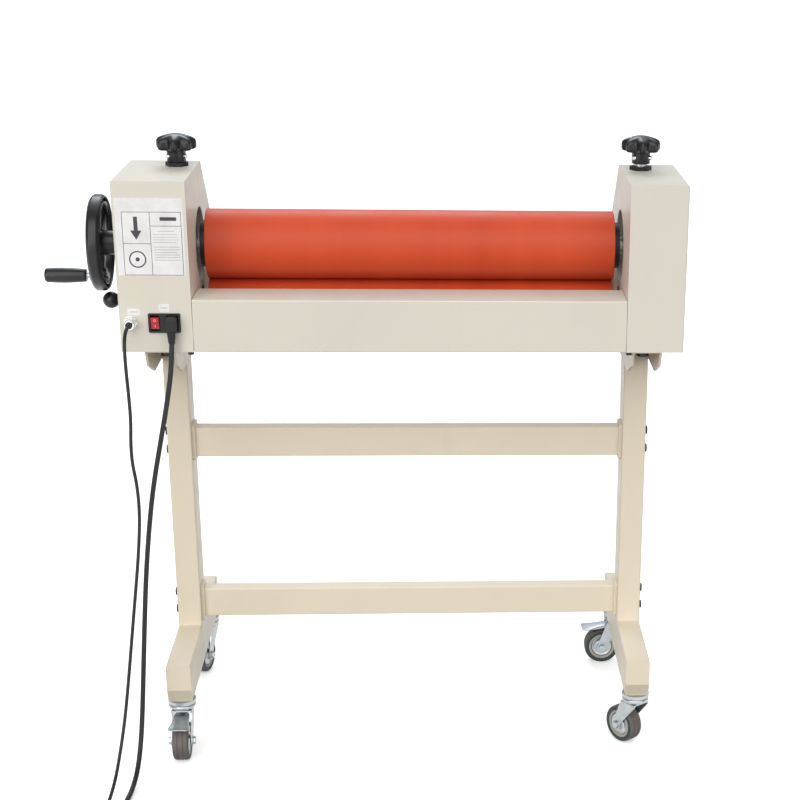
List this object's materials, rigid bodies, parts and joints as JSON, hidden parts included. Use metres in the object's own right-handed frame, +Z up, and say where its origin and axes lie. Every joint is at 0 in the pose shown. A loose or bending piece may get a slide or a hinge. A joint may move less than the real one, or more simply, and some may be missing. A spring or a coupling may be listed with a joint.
{
  "type": "cold roll laminator",
  "caption": "Cold roll laminator with two silicone rollers between sheet metal cabinets, star pressure knobs, a crank handwheel and a stand on swivel casters.",
  "frame": {"origin": "on the floor, under the centre of the bounding box of the machine without its cords, plug and foot switch", "axes": "+X is the operator's right, +Y points away from the operator, +Z is up"},
  "size_m": [1.016, 0.808, 1.012],
  "materials": {
    "cabinet_coat": "satin powder coat, light warm grey",
    "stand_coat": "satin powder coat, cream",
    "roller_silicone": "smooth matte silicone, red-orange",
    "turned_steel": "turned",
    "cast_block": "as cast, dark",
    "zinc_plate": "bright zinc plated",
    "black_steel": "black oxide",
    "knob_black": "glossy moulded phenolic",
    "tyre_rubber": "worn dark rubber",
    "black_plastic": "fine grained moulded plastic",
    "rocker_red": "glossy moulded plastic",
    "cord_sheath": "smooth PVC sheath",
    "chrome_ring": "polished",
    "gear_housing": "die cast"
  },
  "bodies": {
    "frame": {"left_cabinet_shell": "cabinet_coat", "right_cabinet_shell": "cabinet_coat", "left_side_plate": "cabinet_coat", "right_side_plate": "cabinet_coat", "base_plates": "cabinet_coat", "front_cover": "cabinet_coat", "rear_cover": "cabinet_coat", "guide_rails": "turned_steel", "guide_nuts": "black_steel", "lower_bearings": "cast_block", "inlet_module": "black_plastic", "foot_switch_socket": "chrome_ring", "gearmotor": "gear_housing", "left_leg": "stand_coat", "right_leg": "stand_coat", "left_foot": "stand_coat", "right_foot": "stand_coat", "left_top_bracket": "stand_coat", "right_top_bracket": "stand_coat", "upper_crossbar": "stand_coat", "lower_crossbar": "stand_coat", "stand_bolts": "black_steel", "caster_mounts": "zinc_plate", "iec_connector": "black_plastic", "power_cord": "cord_sheath", "power_cord_coil": "cord_sheath", "mains_plug": "black_plastic", "pedal_connector": "zinc_plate", "pedal_cable": "cord_sheath", "pedal_cable_coil": "cord_sheath", "pedal_base": "black_plastic"},
    "roller_carriage": {"bearing_blocks": "cast_block"},
    "upper_roller": {"upper_roller_sleeve": "roller_silicone", "upper_roller_core": "turned_steel", "roller_collars": "black_steel", "handwheel": "knob_black", "grip_bolt": "zinc_plate"},
    "handwheel_grip": {"handwheel_grip": "knob_black"},
    "lower_roller": {"lower_roller_sleeve": "roller_silicone", "lower_roller_core": "turned_steel", "lower_drive_gear": "turned_steel"},
    "motor_shaft": {"motor_pinion": "turned_steel"},
    "left_knob": {"left_star_knob": "knob_black", "left_pressure_screw": "turned_steel"},
    "right_knob": {"right_star_knob": "knob_black", "right_pressure_screw": "turned_steel"},
    "clutch": {"clutch_knob": "knob_black"},
    "rocker": {"rocker": "rocker_red"},
    "foot_treadle": {"pedal_treadle": "black_plastic"},
    "front_left_fork": {"caster_front_left_fork": "zinc_plate"},
    "front_left_wheel": {"caster_front_left_wheel": "tyre_rubber"},
    "front_left_brake": {"caster_front_left_brake": "zinc_plate"},
    "front_right_fork": {"caster_front_right_fork": "zinc_plate"},
    "front_right_wheel": {"caster_front_right_wheel": "tyre_rubber"},
    "rear_left_fork": {"caster_rear_left_fork": "zinc_plate"},
    "rear_left_wheel": {"caster_rear_left_wheel": "tyre_rubber"},
    "rear_right_fork": {"caster_rear_right_fork": "zinc_plate"},
    "rear_right_wheel": {"caster_rear_right_wheel": "tyre_rubber"},
    "rear_right_brake": {"caster_rear_right_brake": "zinc_plate"}
  },
  "joints": [
    {"name": "roller_lift", "type": "slide", "parent": "frame", "child": "roller_carriage", "axis": [0, 0, 1], "range_m": [0, 0.015]},
    {"name": "upper_roller_spin", "type": "hinge", "parent": "roller_carriage", "child": "upper_roller", "pos_m": [0.079, -0.015, 0.835], "axis": [1, 0, 0], "continuous": true},
    {"name": "handwheel_grip_spin", "type": "hinge", "parent": "upper_roller", "child": "handwheel_grip", "pos_m": [-0.475, -0.015, 0.782], "axis": [1, 0, 0], "continuous": true},
    {"name": "lower_roller_spin", "type": "hinge", "parent": "frame", "child": "lower_roller", "pos_m": [0.079, -0.015, 0.7422], "axis": [1, 0, 0], "continuous": true},
    {"name": "motor_shaft_spin", "type": "hinge", "parent": "frame", "child": "motor_shaft", "pos_m": [-0.299, 0.039, 0.7422], "axis": [1, 0, 0], "continuous": true},
    {"name": "left_knob_turn", "type": "hinge", "parent": "roller_carriage", "child": "left_knob", "pos_m": [-0.289, -0.015, 0.9], "axis": [0, 0, 1], "range_deg": [0, 2701]},
    {"name": "right_knob_turn", "type": "hinge", "parent": "roller_carriage", "child": "right_knob", "pos_m": [0.447, -0.015, 0.9], "axis": [0, 0, 1], "range_deg": [0, 2701]},
    {"name": "clutch_slide", "type": "slide", "parent": "frame", "child": "clutch", "axis": [-1, 0, 0], "range_m": [0, 0.012]},
    {"name": "rocker_press", "type": "hinge", "parent": "frame", "child": "rocker", "pos_m": [-0.3152, -0.161, 0.74175], "axis": [-1, 0, 0], "range_deg": [0, 16]},
    {"name": "foot_treadle_press", "type": "hinge", "parent": "frame", "child": "foot_treadle", "pos_m": [-0.41475, -0.499, 0.027], "axis": [1, 0, 0], "range_deg": [0, 7], "stiffness_Nm_per_rad": 2, "springref_deg": -17.19},
    {"name": "front_left_swivel", "type": "hinge", "parent": "frame", "child": "front_left_fork", "pos_m": [-0.312, -0.159, 0.086], "axis": [0, 0, 1], "continuous": true},
    {"name": "front_left_roll", "type": "hinge", "parent": "front_left_fork", "child": "front_left_wheel", "pos_m": [-0.312, -0.185, 0.0325], "axis": [1, 0, 0], "continuous": true},
    {"name": "front_left_brake_lift", "type": "hinge", "parent": "front_left_fork", "child": "front_left_brake", "pos_m": [-0.312, -0.171, 0.073], "axis": [-1, 0, 0], "range_deg": [0, 15]},
    {"name": "front_right_swivel", "type": "hinge", "parent": "frame", "child": "front_right_fork", "pos_m": [0.4515, -0.159, 0.086], "axis": [0, 0, 1], "continuous": true},
    {"name": "front_right_roll", "type": "hinge", "parent": "front_right_fork", "child": "front_right_wheel", "pos_m": [0.43549, -0.13851, 0.0325], "axis": [-0.788, -0.6157, 0], "continuous": true},
    {"name": "rear_left_swivel", "type": "hinge", "parent": "frame", "child": "rear_left_fork", "pos_m": [-0.312, 0.197, 0.086], "axis": [0, 0, 1], "continuous": true},
    {"name": "rear_left_roll", "type": "hinge", "parent": "rear_left_fork", "child": "rear_left_wheel", "pos_m": [-0.31873, 0.17189, 0.0325], "axis": [0.9659, -0.2588, 0], "continuous": true},
    {"name": "rear_right_swivel", "type": "hinge", "parent": "frame", "child": "rear_right_fork", "pos_m": [0.4515, 0.197, 0.086], "axis": [0, 0, 1], "continuous": true},
    {"name": "rear_right_roll", "type": "hinge", "parent": "rear_right_fork", "child": "rear_right_wheel", "pos_m": [0.4255, 0.197, 0.0325], "axis": [0, -1, 0], "continuous": true},
    {"name": "rear_right_brake_lift", "type": "hinge", "parent": "rear_right_fork", "child": "rear_right_brake", "pos_m": [0.4395, 0.197, 0.073], "axis": [0, 1, 0], "range_deg": [0, 15]}
  ],
  "couplings": [
    {"joint": "lower_roller_spin", "follows": "upper_roller_spin", "ratio": -1.4667},
    {"joint": "motor_shaft_spin", "follows": "upper_roller_spin", "ratio": 2.9333},
    {"joint": "left_knob_turn", "follows": "roller_lift", "rad_per_m": 3141.6},
    {"joint": "right_knob_turn", "follows": "roller_lift", "rad_per_m": 3141.6}
  ]
}
